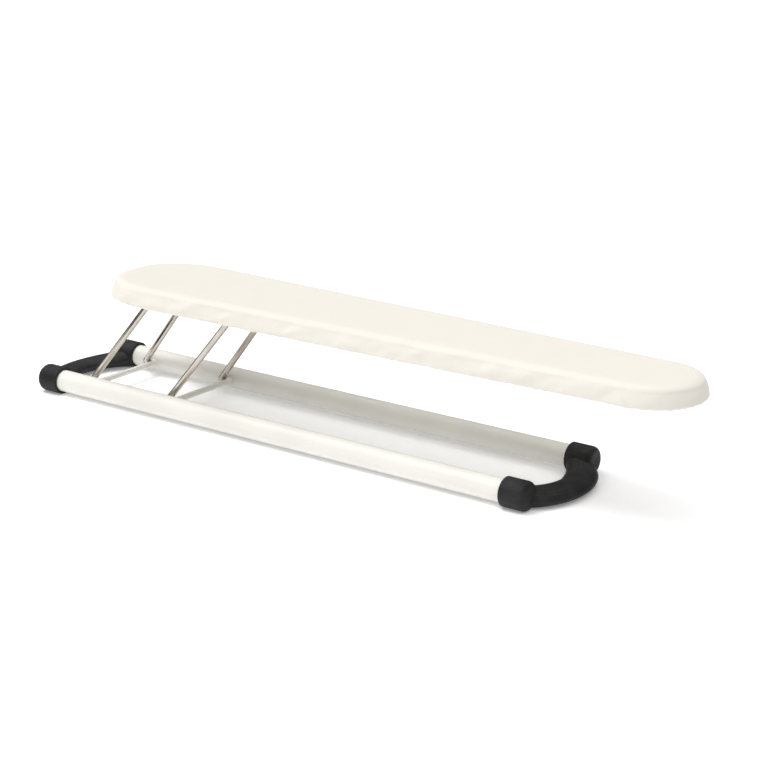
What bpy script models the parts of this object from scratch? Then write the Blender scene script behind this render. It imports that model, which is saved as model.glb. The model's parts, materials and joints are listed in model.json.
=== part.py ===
"""Sleeve ironing board: a padded board held out over a twin-tube base by two swinging wire leg frames.

+X runs towards the board's narrow nose, -Y is the front and +Z is up. The origin is on the table, in the middle
of the whole object's footprint. The board stands raised, with its legs leaning on the crossbars.
"""

import math

import bmesh
import bpy
from mathutils import Matrix, Vector

GAP = 0.0003  # clearance between neighbours that touch on the real object

# Base: two steel tubes pushed into two moulded rubber end pieces
BASE_X = -0.0500  # middle of the base
TUBE_RADIUS = 0.0101
TUBE_WALL = 0.0012
TUBE_Y = 0.0527  # each tube's axis, from the middle
TUBE_Z = 0.0125
TUBE_HALF_LENGTH = 0.2625
CAP_RADIUS = 0.0128
CAP_INNER_X = 0.2450  # open end of each cap, from the middle of the base
CAP_OUTER_X = 0.2690
CAP_EDGE = 0.0049  # rounding of the cap's closed end
ARM_OUTER_X = (0.2556, 0.2900)  # outer edge of the bowed arm, at its roots inside the caps and in the middle
ARM_OUTER_Y = 0.0551
ARM_INNER_X = (0.2466, 0.2635)  # inner edge, the same
ARM_INNER_Y = 0.0419
ARM_INNER_BOW = 1.62  # exponent of the inner edge: 2 is a parabola
ARM_Z = (0.0097, 0.0070)  # middle of the section, at the roots and in the middle
ARM_HALF_HEIGHT = (0.0096, 0.0066)
ARM_DROP = 0.0012  # the outer edge lies lower than the section's middle by this

# Legs: two frames of bent wire, each turning in the tubes' inner walls
WIRE_RADIUS = 0.0030
LEG_X = {"left": -0.2243, "right": -0.1291}  # lower pivots, from the middle of the base
LEG_LEAN = math.radians(38.8)  # from upright, towards the nose
LEG_FOOT_Y = 0.0370
LEG_TOP_Y = 0.0294
LEG_BEND = 0.0060  # bend radius at the wire's centre line
LEG_PIN_Y = 0.0500  # end of the pivot pin inside the tube
PIVOT_HOLE_RADIUS = 0.0034
CROSSBAR_RADIUS = 0.0028
CROSSBAR_SHIFT = (0.0078, 0.0)  # from the lower pivot, along X and Z
WELD_RADIUS = 0.0036
WELD_LENGTH = 0.0020

# Board: outline at its widest level, just above the lower rim
BOARD_X = (-0.2090, 0.3900)  # from the middle of the base
BOARD_HALF_WIDTH = (0.0595, 0.0470)  # where the rounded tail and nose begin
TAIL_LENGTH = 0.0780
NOSE_LENGTH = 0.0440
TAIL_POWER = 2.28
NOSE_POWER = 2.05
BOARD_TOP_Z = 0.1190
BOARD_RIM_Z = 0.0998
WIDEST_Z = 0.1032
SHOULDER_Z = 0.1138  # the flared side ends and the rounded top edge begins
SHOULDER_INSET = 0.0044
TOP_INSET = 0.0125
RIM_INSET = 0.0016
HEM_INSET = 0.0160  # inner edge of the hem turned under the rim
COVER_THICKNESS = 0.0010
PAD_THICKNESS = 0.0046
PLATE_THICKNESS = 0.0010
PLATE_RIM_Z = 0.1034
ELASTIC_RADIUS = 0.0010

# Saddles: straps riveted under the plate that hold the leg frames' top bars
SADDLE_Y = 0.0150
SADDLE_WIDTH = 0.0100
SADDLE_THICKNESS = 0.0012
SADDLE_FLANGE = 0.0080
SADDLE_PLAY = 0.0004
RIVET_RADIUS = 0.0014
RIVET_HEAD_RADIUS = 0.0028
RIVET_HEAD_HEIGHT = 0.0010
RIVET_SINK_RADIUS = 0.0022

# Levels that follow from the sizes above
PAD_TOP_Z = BOARD_TOP_Z - COVER_THICKNESS - GAP
PLATE_TOP_Z = PAD_TOP_Z - PAD_THICKNESS - GAP
PLATE_UNDER_Z = PLATE_TOP_Z - PLATE_THICKNESS
TOP_BAR_Z = PLATE_UNDER_Z - GAP - WIRE_RADIUS
LEG_LENGTH = (TOP_BAR_Z - TUBE_Z) / math.cos(LEG_LEAN)
LEG_REACH = LEG_LENGTH * math.sin(LEG_LEAN)

ROUND_STEPS = 28
SMOOTH_ANGLE = math.radians(35)
END_STEPS = 9  # points along each quarter of the board's rounded ends


def clear_scene():
    for old in list(bpy.data.objects):
        bpy.data.objects.remove(old, do_unlink=True)


def make_material(name, colour, roughness, metallic=0.0):
    made = bpy.data.materials.new(name)
    made.use_nodes = True
    shader = made.node_tree.nodes["Principled BSDF"]
    shader.inputs["Base Color"].default_value = (*colour, 1.0)
    shader.inputs["Roughness"].default_value = roughness
    shader.inputs["Metallic"].default_value = metallic
    return made


def add_object(name, data, material=None, parent=None, location=(0.0, 0.0, 0.0)):
    made = bpy.data.objects.new(name, data)
    bpy.context.scene.collection.objects.link(made)
    made.location = location
    made.parent = parent
    if material:
        data.materials.append(material)
    return made


def add_empty(name, location, parent=None):
    return add_object(name, None, None, parent, location)


def finished_mesh(shape, name):
    """The bmesh as a mesh of triangles turned outwards, with its round sides smooth."""
    bmesh.ops.triangulate(shape, faces=shape.faces[:])
    bmesh.ops.recalc_face_normals(shape, faces=shape.faces)
    mesh = bpy.data.meshes.new(name)
    shape.to_mesh(mesh)
    shape.free()
    mesh.shade_smooth()
    mesh.set_sharp_from_angle(angle=SMOOTH_ANGLE)
    return mesh


def add_loft(shape, rings):
    """Skins a row of equal rings of points and closes both ends."""
    rows = [[shape.verts.new(point) for point in ring] for ring in rings]
    count = len(rows[0])
    for low, high in zip(rows, rows[1:]):
        for i in range(count):
            after = (i + 1) % count
            shape.faces.new((low[i], low[after], high[after], high[i]))
    shape.faces.new(rows[0])
    shape.faces.new(rows[-1])


def loft_mesh(name, *lofts):
    shape = bmesh.new()
    for rings in lofts:
        add_loft(shape, rings)
    return finished_mesh(shape, name)


def mix(ends, share):
    return ends[0] + (ends[1] - ends[0]) * share


def turned_rings(profile, centre, axis, steps=ROUND_STEPS):
    """Rings of a solid turned about a line through centre. The profile lists (distance along, radius)."""
    turn = Vector(axis).to_track_quat("Z", "Y").to_matrix()
    rings = []
    for along, radius in profile:
        ring = []
        for i in range(steps):
            angle = math.tau * (i + 0.5) / steps
            spoke = Vector((radius * math.cos(angle), radius * math.sin(angle), along))
            ring.append(Vector(centre) + turn @ spoke)
        rings.append(ring)
    return rings


def add_helper(name, mesh):
    helper = add_object(name, mesh)
    helper.hide_render = True
    helper.display_type = "WIRE"
    return helper


def add_boolean(target, operation, helper):
    modifier = target.modifiers.new(f"{operation.lower()} {helper.name}", "BOOLEAN")
    modifier.operation = operation
    modifier.solver = "EXACT"
    modifier.object = helper


# ---------------------------------------------------------------- base


def make_tube(name, side, material):
    """A steel tube with two pivot holes drilled through its inner wall."""
    shape = bmesh.new()
    centre = (BASE_X, side * TUBE_Y, TUBE_Z)
    ends = (-TUBE_HALF_LENGTH, TUBE_HALF_LENGTH)
    add_loft(shape, turned_rings([(end, TUBE_RADIUS) for end in ends], centre, (1, 0, 0)))
    tube = add_object(name, finished_mesh(shape, name), material)
    bore = [(2 * end, TUBE_RADIUS - TUBE_WALL) for end in ends]
    bore_mesh = loft_mesh(f"{name} bore", turned_rings(bore, centre, (1, 0, 0)))
    add_boolean(tube, "DIFFERENCE", add_helper(f"{name} bore", bore_mesh))
    hole = [(0, PIVOT_HOLE_RADIUS), (TUBE_Y, PIVOT_HOLE_RADIUS)]
    drills = [
        turned_rings(hole, (BASE_X + x, 0, TUBE_Z), (0, side, 0), 16) for x in LEG_X.values()
    ]
    drill_mesh = loft_mesh(f"{name} pivot holes", *drills)
    add_boolean(tube, "DIFFERENCE", add_helper(f"{name} pivot holes", drill_mesh))
    return tube


def cap_profile():
    """The cap over a tube's end, from its open face to its rounded closed end."""
    profile = [(CAP_INNER_X, CAP_RADIUS - 0.0006), (CAP_INNER_X + 0.0006, CAP_RADIUS)]
    for step in range(5):
        angle = math.radians(90 * step / 4)
        along = CAP_OUTER_X - CAP_EDGE * (1 - math.sin(angle))
        profile.append((along, CAP_RADIUS - CAP_EDGE * (1 - math.cos(angle))))
    return profile


def arm_rings(end):
    """The bowed arm between the two caps: an oval section, taller at its roots, whose outer edge lies lower."""
    steps = 24
    section_steps = 20
    rings = []
    for step in range(steps + 1):
        turn = math.pi * step / steps
        out = math.sin(turn)
        across = -math.cos(turn)
        outer = Vector((mix(ARM_OUTER_X, out), ARM_OUTER_Y * across))
        inner_bow = 1 - abs(across) ** ARM_INNER_BOW
        inner = Vector((mix(ARM_INNER_X, inner_bow), ARM_INNER_Y * across))
        ring = []
        for i in range(section_steps):
            angle = math.tau * i / section_steps
            point = (outer + inner) / 2 + (outer - inner) / 2 * math.cos(angle)
            height = mix(ARM_HALF_HEIGHT, out) * math.sin(angle) - ARM_DROP * math.cos(angle)
            ring.append((BASE_X + end * point.x, point.y, mix(ARM_Z, out) + height))
        rings.append(ring)
    return rings


def make_end_piece(name, end, material):
    """Two caps over the tubes' ends and the bowed arm between them, moulded as one, with flat feet."""
    piece = add_object(name, loft_mesh(name, arm_rings(end)), material)
    centres = [(BASE_X, side * TUBE_Y, TUBE_Z) for side in (-1, 1)]
    caps = [turned_rings(cap_profile(), centre, (end, 0, 0)) for centre in centres]
    add_boolean(piece, "UNION", add_helper(f"{name} caps", loft_mesh(f"{name} caps", *caps)))
    reach = (CAP_INNER_X - 0.01, TUBE_HALF_LENGTH + GAP)
    socket = [(along, TUBE_RADIUS + GAP) for along in reach]
    sockets = [turned_rings(socket, centre, (end, 0, 0)) for centre in centres]
    socket_mesh = loft_mesh(f"{name} sockets", *sockets)
    add_boolean(piece, "DIFFERENCE", add_helper(f"{name} sockets", socket_mesh))
    shape = bmesh.new()
    below = Matrix.Translation((BASE_X + end * CAP_OUTER_X, 0, -0.01)) @ Matrix.Diagonal((0.1, 0.2, 0.02, 1))
    bmesh.ops.create_cube(shape, size=1, matrix=below)
    table_mesh = finished_mesh(shape, f"{name} foot plane")
    add_boolean(piece, "DIFFERENCE", add_helper(f"{name} foot plane", table_mesh))
    return piece


def make_crossbar(name, pivot_x, material):
    """A round bar welded between the tubes beside a pivot. The raised leg frame rests against it."""
    x = BASE_X + pivot_x + CROSSBAR_SHIFT[0]
    z = TUBE_Z + CROSSBAR_SHIFT[1]
    half = TUBE_Y - TUBE_RADIUS - GAP
    profile = [
        (-half, WELD_RADIUS),
        (WELD_LENGTH - half, CROSSBAR_RADIUS),
        (half - WELD_LENGTH, CROSSBAR_RADIUS),
        (half, WELD_RADIUS),
    ]
    return add_object(name, loft_mesh(name, turned_rings(profile, (x, 0, z), (0, 1, 0), 16)), material)


# ---------------------------------------------------------------- legs


def rounded_path(corners, radius, steps=6):
    """The corner points joined by straight runs, with each inner corner turned into an arc."""
    path = [corners[0]]
    for before, corner, after in zip(corners, corners[1:], corners[2:]):
        back = (before - corner).normalized()
        ahead = (after - corner).normalized()
        half_angle = back.angle(ahead) / 2
        centre = corner + (back + ahead).normalized() * radius / math.sin(half_angle)
        start = corner + back * radius / math.tan(half_angle) - centre
        finish = corner + ahead * radius / math.tan(half_angle) - centre
        for step in range(steps + 1):
            path.append(centre + start.slerp(finish, step / steps) * radius)
    path.append(corners[-1])
    return path


def make_wire(name, points, radius, closed=False, resolution=3):
    curve = bpy.data.curves.new(name, "CURVE")
    curve.dimensions = "3D"
    curve.bevel_depth = radius
    curve.bevel_resolution = resolution
    curve.use_fill_caps = not closed
    spline = curve.splines.new("POLY")
    spline.points.add(len(points) - 1)
    spline.use_cyclic_u = closed
    spline.use_smooth = True
    for target, point in zip(spline.points, points):
        target.co = (*point, 1.0)
    return curve


def make_leg_frame(name, pivot_x, material):
    """One bent wire: pin, leg, top bar, leg and pin. Its origin is on its lower pivot."""

    def at(up, y):
        return Vector((up * math.sin(LEG_LEAN), y, up * math.cos(LEG_LEAN)))

    corners = [
        at(0, -LEG_PIN_Y),
        at(0, -LEG_FOOT_Y),
        at(LEG_LENGTH, -LEG_TOP_Y),
        at(LEG_LENGTH, LEG_TOP_Y),
        at(0, LEG_FOOT_Y),
        at(0, LEG_PIN_Y),
    ]
    wire = make_wire(name, rounded_path(corners, LEG_BEND), WIRE_RADIUS)
    return add_object(name, wire, material, None, (BASE_X + pivot_x, 0, TUBE_Z))


# ---------------------------------------------------------------- board


def board_outline():
    """The board's widest outline, anticlockwise from the tail's tip, relative to the board's pivot."""
    tail_start = BOARD_X[0] + TAIL_LENGTH
    nose_start = BOARD_X[1] - NOSE_LENGTH

    def half_width(x):
        share = (x - tail_start) / (nose_start - tail_start)
        return BOARD_HALF_WIDTH[0] + share * (BOARD_HALF_WIDTH[1] - BOARD_HALF_WIDTH[0])

    def quarter(corner, length, power):
        points = []
        for step in range(END_STEPS + 1):
            angle = math.radians(90 * step / END_STEPS)
            x = corner + length * math.cos(angle) ** (2 / power)
            points.append((x, half_width(x) * math.sin(angle) ** (2 / power)))
        return points

    nose = quarter(nose_start, NOSE_LENGTH, NOSE_POWER)
    tail = quarter(tail_start, -TAIL_LENGTH, TAIL_POWER)
    upper = nose + tail[::-1]
    lower = [(x, -y) for x, y in upper[-2:0:-1]]
    pivot = LEG_X["left"] + LEG_REACH
    return [Vector((x - pivot, y)) for x, y in upper + lower]


OUTLINE = board_outline()


def board_ring(inset, z):
    """The outline moved inwards by inset, at height z above the table, relative to the board's pivot."""
    ring = []
    for i, point in enumerate(OUTLINE):
        before = (point - OUTLINE[i - 1]).normalized()
        after = (OUTLINE[(i + 1) % len(OUTLINE)] - point).normalized()
        along = (before + after).normalized()
        inward = Vector((-along.y, along.x)) / max(along.dot(after), 0.5)
        ring.append((*(point + inward * inset), z - TOP_BAR_Z))
    return ring


def side_inset(z):
    """How far the cover's flared side stands in from the widest outline."""
    return SHOULDER_INSET * max(0.0, (z - WIDEST_Z) / (SHOULDER_Z - WIDEST_Z))


def crown_rings(depth):
    """Rings of the flared side and rounded top edge, this deep under the cover's surface, from the top down."""
    rings = []
    for step in range(5):
        angle = math.radians(90 * step / 4)
        z = SHOULDER_Z + (BOARD_TOP_Z - depth - SHOULDER_Z) * math.cos(angle)
        inset = TOP_INSET - (TOP_INSET - SHOULDER_INSET - depth) * math.sin(angle)
        rings.append(board_ring(inset, z))
    return rings


def make_cover(name, material, parent):
    """The cloth shell over the pad: crown, side, and a hem turned under the plate's rim."""
    inner = COVER_THICKNESS
    rings = crown_rings(0)
    rings.append(board_ring(0, WIDEST_Z))
    rings.append(board_ring(RIM_INSET / 3, BOARD_RIM_Z + RIM_INSET / 2))
    rings.append(board_ring(RIM_INSET, BOARD_RIM_Z))
    rings.append(board_ring(HEM_INSET, BOARD_RIM_Z))
    rings.append(board_ring(HEM_INSET, BOARD_RIM_Z + inner))
    rings.append(board_ring(RIM_INSET + inner / 2, BOARD_RIM_Z + inner))
    rings.append(board_ring(inner, WIDEST_Z))
    rings += crown_rings(inner)[::-1]
    return add_object(name, loft_mesh(name, rings), material, parent)


def make_pad(name, material, parent):
    """The foam layer between the cover and the plate."""
    depth = COVER_THICKNESS + GAP
    rings = crown_rings(depth)
    bottom = PLATE_TOP_Z + GAP
    rings.append(board_ring(side_inset(bottom) + depth, bottom))
    return add_object(name, loft_mesh(name, rings), material, parent)


def make_plate(name, material, parent):
    """The pressed steel tray: a flat top with a flared skirt turned down all round."""
    depth = COVER_THICKNESS + GAP
    corner = 0.0012
    outer = side_inset(PLATE_TOP_Z - corner) + depth
    rim = side_inset(PLATE_RIM_Z) + depth
    rings = [
        board_ring(outer + corner, PLATE_TOP_Z),
        board_ring(outer + 0.3 * corner, PLATE_TOP_Z - 0.3 * corner),
        board_ring(outer, PLATE_TOP_Z - corner),
        board_ring(rim, PLATE_RIM_Z),
        board_ring(rim + PLATE_THICKNESS, PLATE_RIM_Z),
        board_ring(outer + PLATE_THICKNESS, PLATE_TOP_Z - corner - PLATE_THICKNESS),
        board_ring(outer + PLATE_THICKNESS + corner, PLATE_UNDER_Z),
    ]
    return add_object(name, loft_mesh(name, rings), material, parent)


def make_hem_elastic(name, material, parent):
    """The elastic cord that lies along the hem's inner edge and draws the cover tight."""
    z = BOARD_RIM_Z + COVER_THICKNESS + GAP + ELASTIC_RADIUS
    loop = [Vector(point) for point in board_ring(HEM_INSET - ELASTIC_RADIUS, z)]
    return add_object(name, make_wire(name, loop, ELASTIC_RADIUS, closed=True, resolution=1), material, parent)


def rivet_rings(x, y, grow=0.0):
    """A countersunk rivet from its round head, under the saddle's flange, to the plate's top."""
    flange_under = PLATE_UNDER_Z - GAP - SADDLE_THICKNESS - GAP - TOP_BAR_Z
    top = PLATE_TOP_Z - TOP_BAR_Z
    sink = PLATE_THICKNESS * 0.7
    profile = [
        (flange_under - RIVET_HEAD_HEIGHT, RIVET_HEAD_RADIUS * 0.55),
        (flange_under - 0.4 * RIVET_HEAD_HEIGHT, RIVET_HEAD_RADIUS * 0.9),
        (flange_under, RIVET_HEAD_RADIUS),
    ]
    if grow:
        profile = [(flange_under - RIVET_HEAD_HEIGHT, RIVET_RADIUS + grow)]
    profile += [
        (flange_under, RIVET_RADIUS + grow),
        (top - sink, RIVET_RADIUS + grow),
        (top, RIVET_SINK_RADIUS + grow),
    ]
    if grow:
        profile.append((top + GAP, RIVET_SINK_RADIUS + grow))
    return turned_rings(profile, (x, y, 0), (0, 0, 1), 12)


def saddle_outline():
    """The strap's shape in the XZ plane, round the top bar, from one flange to the other and back."""
    flange_z = PLATE_UNDER_Z - GAP - TOP_BAR_Z
    inner = WIRE_RADIUS + SADDLE_PLAY
    outer = inner + SADDLE_THICKNESS
    half = outer + SADDLE_FLANGE
    arc = [math.pi * step / 8 for step in range(9)]
    inside = [(-inner * math.cos(a), -inner * math.sin(a)) for a in arc]
    outside = [(outer * math.cos(a), -outer * math.sin(a)) for a in arc]
    under = flange_z - SADDLE_THICKNESS
    upper = [(-half, flange_z), (-inner, flange_z), *inside, (inner, flange_z), (half, flange_z)]
    lower = [(half, under), (outer, under), *outside, (-outer, under), (-half, under)]
    return upper + lower


def make_saddle(name, x, y, material, parent):
    """A strap bent round a leg frame's top bar, with a flange on each side."""
    rings = [
        [(x + px, y + side * SADDLE_WIDTH / 2, pz) for px, pz in saddle_outline()] for side in (-1, 1)
    ]
    return add_object(name, loft_mesh(name, rings), material, parent)


def make_saddles(plate, parent, strap, rivet):
    """The four saddles and their rivets, with the rivet holes drilled through strap and plate."""
    reach = WIRE_RADIUS + SADDLE_PLAY + SADDLE_THICKNESS + SADDLE_FLANGE / 2
    saddles = []
    holes = []
    for leg, pivot_x in LEG_X.items():
        x = pivot_x - LEG_X["left"]
        for side, place in ((-1, "front"), (1, "rear")):
            y = side * SADDLE_Y
            saddles.append(make_saddle(f"{leg}_{place}_saddle", x, y, strap, parent))
            for shift, end in ((-reach, "a"), (reach, "b")):
                name = f"{leg}_{place}_rivet_{end}"
                add_object(name, loft_mesh(name, rivet_rings(x + shift, y)), rivet, parent)
                holes.append(rivet_rings(x + shift, y, GAP))
    drills = add_helper("rivet holes", loft_mesh("rivet holes", *holes))
    drills.parent = parent
    for target in (plate, *saddles):
        add_boolean(target, "DIFFERENCE", drills)


def build():
    clear_scene()
    ivory = make_material("ivory_enamel", (0.86, 0.84, 0.77), 0.35)
    rubber = make_material("black_rubber", (0.030, 0.031, 0.033), 0.55)
    nickel = make_material("nickel_plate", (0.62, 0.58, 0.53), 0.25, 1.0)
    zinc = make_material("zinc_plate", (0.55, 0.56, 0.57), 0.40, 1.0)
    cotton = make_material("ecru_cotton", (0.90, 0.86, 0.77), 0.85)
    foam = make_material("white_foam", (0.88, 0.87, 0.84), 0.95)
    elastic = make_material("white_elastic", (0.85, 0.84, 0.80), 0.80)

    make_tube("front_tube", -1, ivory)
    make_tube("rear_tube", 1, ivory)
    make_end_piece("left_end_piece", -1, rubber)
    make_end_piece("right_end_piece", 1, rubber)
    legs = {}
    for place, pivot_x in LEG_X.items():
        make_crossbar(f"{place}_crossbar", pivot_x, ivory)
        legs[place] = make_leg_frame(f"{place}_leg_frame", pivot_x, nickel)

    board = add_empty("board_pivot", (LEG_REACH, 0, TOP_BAR_Z - TUBE_Z), legs["left"])
    make_cover("cover", cotton, board)
    make_pad("foam_pad", foam, board)
    make_hem_elastic("hem_elastic", elastic, board)
    plate = make_plate("board_plate", ivory, board)
    make_saddles(plate, board, zinc, zinc)


build()
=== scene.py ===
import json
import math

import bpy
import numpy as np
from mathutils import Matrix, Vector, noise


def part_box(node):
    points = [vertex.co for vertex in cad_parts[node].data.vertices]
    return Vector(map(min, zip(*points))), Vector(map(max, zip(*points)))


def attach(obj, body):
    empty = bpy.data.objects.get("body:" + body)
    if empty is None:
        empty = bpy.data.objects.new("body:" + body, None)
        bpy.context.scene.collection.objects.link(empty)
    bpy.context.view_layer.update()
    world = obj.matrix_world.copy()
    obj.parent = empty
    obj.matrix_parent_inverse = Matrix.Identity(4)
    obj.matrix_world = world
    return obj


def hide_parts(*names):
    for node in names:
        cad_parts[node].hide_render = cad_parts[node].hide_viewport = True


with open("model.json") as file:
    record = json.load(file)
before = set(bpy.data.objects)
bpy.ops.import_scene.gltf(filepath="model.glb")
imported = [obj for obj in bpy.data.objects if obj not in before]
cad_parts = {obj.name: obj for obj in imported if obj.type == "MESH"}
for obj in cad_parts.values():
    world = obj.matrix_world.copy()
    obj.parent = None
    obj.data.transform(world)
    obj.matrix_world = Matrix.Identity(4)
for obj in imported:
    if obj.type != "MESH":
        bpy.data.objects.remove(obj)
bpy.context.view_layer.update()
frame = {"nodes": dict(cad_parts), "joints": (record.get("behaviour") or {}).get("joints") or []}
MM = 0.001

# ---------------------------------------------------------------- camera and light
CAMERA_AZIMUTH = math.radians(35.04)
CAMERA_ELEVATION = math.radians(17.54)
CAMERA_ROLL = math.radians(0.707)
CAMERA_PLACE = Vector((0.96382, -1.32155, 0.56983))
CAMERA_LENS = 91.62  # mm, as is the sensor
CAMERA_SENSOR = 36
CAMERA_CLIP = 0.05

# The studio: dark behind, brighter towards the front and a little to the left, and brightest overhead.
BRIGHT_SIDE = Vector((-0.50, -0.87, 0.0))
DARK_LEVEL = 0.02
BRIGHT_LEVEL = 0.40
TOP_LEVEL = 1.68
BACKGROUND_LEVEL = 1.0  # what the camera sees of the studio
BRIGHT_SIDE_RANGE = (-0.3, 0.8)  # cosine to the bright side, from the dark level to the bright one
TOP_RANGE = (0.40, 0.95)  # how steeply up a direction points, from the side's level to the top's

HIGH_LEFT_FROM = (-0.38, -0.26, 1)
HIGH_LEFT_POWER = 1.05
HIGH_LEFT_ANGLE = math.radians(24)
FRONT_LOW_FROM = (-0.15, -1.35, 0.26)
FRONT_LOW_TARGET = (0, 0, 0.04)
FRONT_LOW_POWER = 0.9
FRONT_LOW_SIZE = 0.7
GLOW_FROM = (1, 0.05, 0.08)
GLOW_POWER = 0.05
GLOW_ANGLE = math.radians(50)
GLOW_COLOUR = (0.1, 0.5, 1.0)

FLOOR_REACH = 8
FLOOR_COLOUR = (0.96, 0.96, 0.97, 1)
FLOOR_GLOW = 0.19
FLAG_X = -0.47  # the flag is a black card that only reflections show
FLAG_Y = (-0.38, -0.09)
FLAG_Z = (0.002, 0.12)
FLAG_COLOUR = (0.02, 0.02, 0.02, 1)
WHITE = (1, 1, 1, 1)


def make_camera():
    """The camera that the photograph was taken with, as near as its perspective tells."""
    cos_a, sin_a = math.cos(CAMERA_AZIMUTH), math.sin(CAMERA_AZIMUTH)
    cos_e, sin_e = math.cos(CAMERA_ELEVATION), math.sin(CAMERA_ELEVATION)
    level_right = Vector((cos_a, sin_a, 0))
    level_up = Vector((-sin_a * sin_e, cos_a * sin_e, cos_e))
    back = Vector((sin_a * cos_e, -cos_a * cos_e, sin_e))
    right = level_right * math.cos(CAMERA_ROLL) + level_up * math.sin(CAMERA_ROLL)
    up = level_up * math.cos(CAMERA_ROLL) - level_right * math.sin(CAMERA_ROLL)
    data = bpy.data.cameras.new("camera")
    data.sensor_width = CAMERA_SENSOR
    data.lens = CAMERA_LENS
    data.clip_start = CAMERA_CLIP
    camera = bpy.data.objects.new("camera", data)
    bpy.context.scene.collection.objects.link(camera)
    turn = Matrix((right, up, back)).transposed()
    camera.matrix_world = Matrix.Translation(CAMERA_PLACE) @ turn.to_4x4()
    bpy.context.scene.camera = camera


def add_light(kind, name, place, target, power, colour=(1, 1, 1)):
    """A lamp at a place, turned to a target, that the camera doesn't see."""
    data = bpy.data.lights.new(name, kind)
    data.energy = power
    data.color = colour
    light = bpy.data.objects.new(name, data)
    light.location = place
    aim = Vector(target) - Vector(place)
    light.rotation_euler = aim.to_track_quat("-Z", "Y").to_euler()
    light.visible_camera = False
    bpy.context.scene.collection.objects.link(light)
    return data


def make_lights():
    """A broad light from high on the left, a softbox low at the front and a cool glow from the right."""
    high_left = add_light("SUN", "high_left", HIGH_LEFT_FROM, (0, 0, 0), HIGH_LEFT_POWER)
    high_left.angle = HIGH_LEFT_ANGLE
    front_low = add_light("AREA", "front_low", FRONT_LOW_FROM, FRONT_LOW_TARGET, FRONT_LOW_POWER)
    front_low.size = FRONT_LOW_SIZE
    glow = add_light("SUN", "glow", GLOW_FROM, (0, 0, 0), GLOW_POWER, GLOW_COLOUR)
    glow.angle = GLOW_ANGLE


def make_world():
    """A soft white studio that lights the object, and plain white where the camera sees past it."""
    world = bpy.data.worlds.new("studio")
    bpy.context.scene.world = world
    world.use_nodes = True
    tree = world.node_tree

    def node(kind, **settings):
        made = tree.nodes.new(kind)
        for name, value in settings.items():
            setattr(made, name, value)
        return made

    place = node("ShaderNodeTexCoord")
    facing = node("ShaderNodeVectorMath", operation="DOT_PRODUCT")
    facing.inputs[1].default_value = BRIGHT_SIDE
    level = node("ShaderNodeMapRange", interpolation_type="SMOOTHSTEP")
    level.inputs["From Min"].default_value = BRIGHT_SIDE_RANGE[0]
    level.inputs["From Max"].default_value = BRIGHT_SIDE_RANGE[1]
    level.inputs["To Min"].default_value = DARK_LEVEL
    level.inputs["To Max"].default_value = BRIGHT_LEVEL
    split = node("ShaderNodeSeparateXYZ")
    height = node("ShaderNodeMapRange", interpolation_type="SMOOTHSTEP")
    height.inputs["From Min"].default_value = TOP_RANGE[0]
    height.inputs["From Max"].default_value = TOP_RANGE[1]
    mix = node("ShaderNodeMix", data_type="FLOAT")
    mix.inputs["B"].default_value = TOP_LEVEL
    seen = node("ShaderNodeLightPath")
    total = node("ShaderNodeMix", data_type="FLOAT")
    total.inputs["B"].default_value = BACKGROUND_LEVEL
    tree.links.new(place.outputs["Generated"], facing.inputs[0])
    tree.links.new(place.outputs["Generated"], split.inputs[0])
    tree.links.new(facing.outputs["Value"], level.inputs["Value"])
    tree.links.new(split.outputs["Z"], height.inputs["Value"])
    tree.links.new(height.outputs["Result"], mix.inputs["Factor"])
    tree.links.new(level.outputs["Result"], mix.inputs["A"])
    tree.links.new(seen.outputs["Is Camera Ray"], total.inputs["Factor"])
    tree.links.new(mix.outputs["Result"], total.inputs["A"])
    tree.links.new(total.outputs["Result"], tree.nodes["Background"].inputs["Strength"])
    tree.nodes["Background"].inputs["Color"].default_value = WHITE


def stage_material(name, colour, roughness):
    """A plain material for something that isn't part of the object, and its shader."""
    material = bpy.data.materials.new(name)
    material.use_nodes = True
    shader = material.node_tree.nodes["Principled BSDF"]
    shader.inputs["Base Color"].default_value = colour
    shader.inputs["Roughness"].default_value = roughness
    return material, shader


def make_floor():
    """A wide white floor that glows faintly, so that it runs into the white background."""
    reach = FLOOR_REACH
    corners = [(-reach, -reach, 0), (reach, -reach, 0), (reach, reach, 0), (-reach, reach, 0)]
    floor = add_mesh_object("floor", corners, [(0, 1, 2, 3)])
    material, shader = stage_material("floor", FLOOR_COLOUR, 0.9)
    shader.inputs["Specular IOR Level"].default_value = 0.1
    shader.inputs["Emission Color"].default_value = WHITE
    shader.inputs["Emission Strength"].default_value = FLOOR_GLOW
    floor.data.materials.append(material)


def make_flag():
    """A black card left of the board, seen only in reflections: it draws the dark line down each wire."""
    (near, far), (low, high) = FLAG_Y, FLAG_Z
    corners = [(FLAG_X, near, low), (FLAG_X, far, low), (FLAG_X, far, high), (FLAG_X, near, high)]
    flag = add_mesh_object("flag", corners, [(0, 1, 2, 3)])
    for kind in ("camera", "diffuse", "transmission", "shadow"):
        setattr(flag, "visible_" + kind, False)
    flag.data.materials.append(stage_material("flag", FLAG_COLOUR, 1.0)[0])


# ---------------------------------------------------------------- mesh helpers
def add_mesh_object(name, points, faces):
    mesh = bpy.data.meshes.new(name)
    mesh.from_pydata([tuple(p) for p in points], [], faces)
    mesh.update()
    made = bpy.data.objects.new(name, mesh)
    bpy.context.scene.collection.objects.link(made)
    return made


def read_points(mesh):
    """A mesh's points, one row each."""
    flat = np.empty(len(mesh.vertices) * 3, np.float32)
    mesh.vertices.foreach_get("co", flat)
    return flat.reshape(-1, 3).astype(float)


def write_points(mesh, points):
    """Moves a mesh's points to these places."""
    mesh.vertices.foreach_set("co", points.astype(np.float32).reshape(-1))
    mesh.update()


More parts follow.
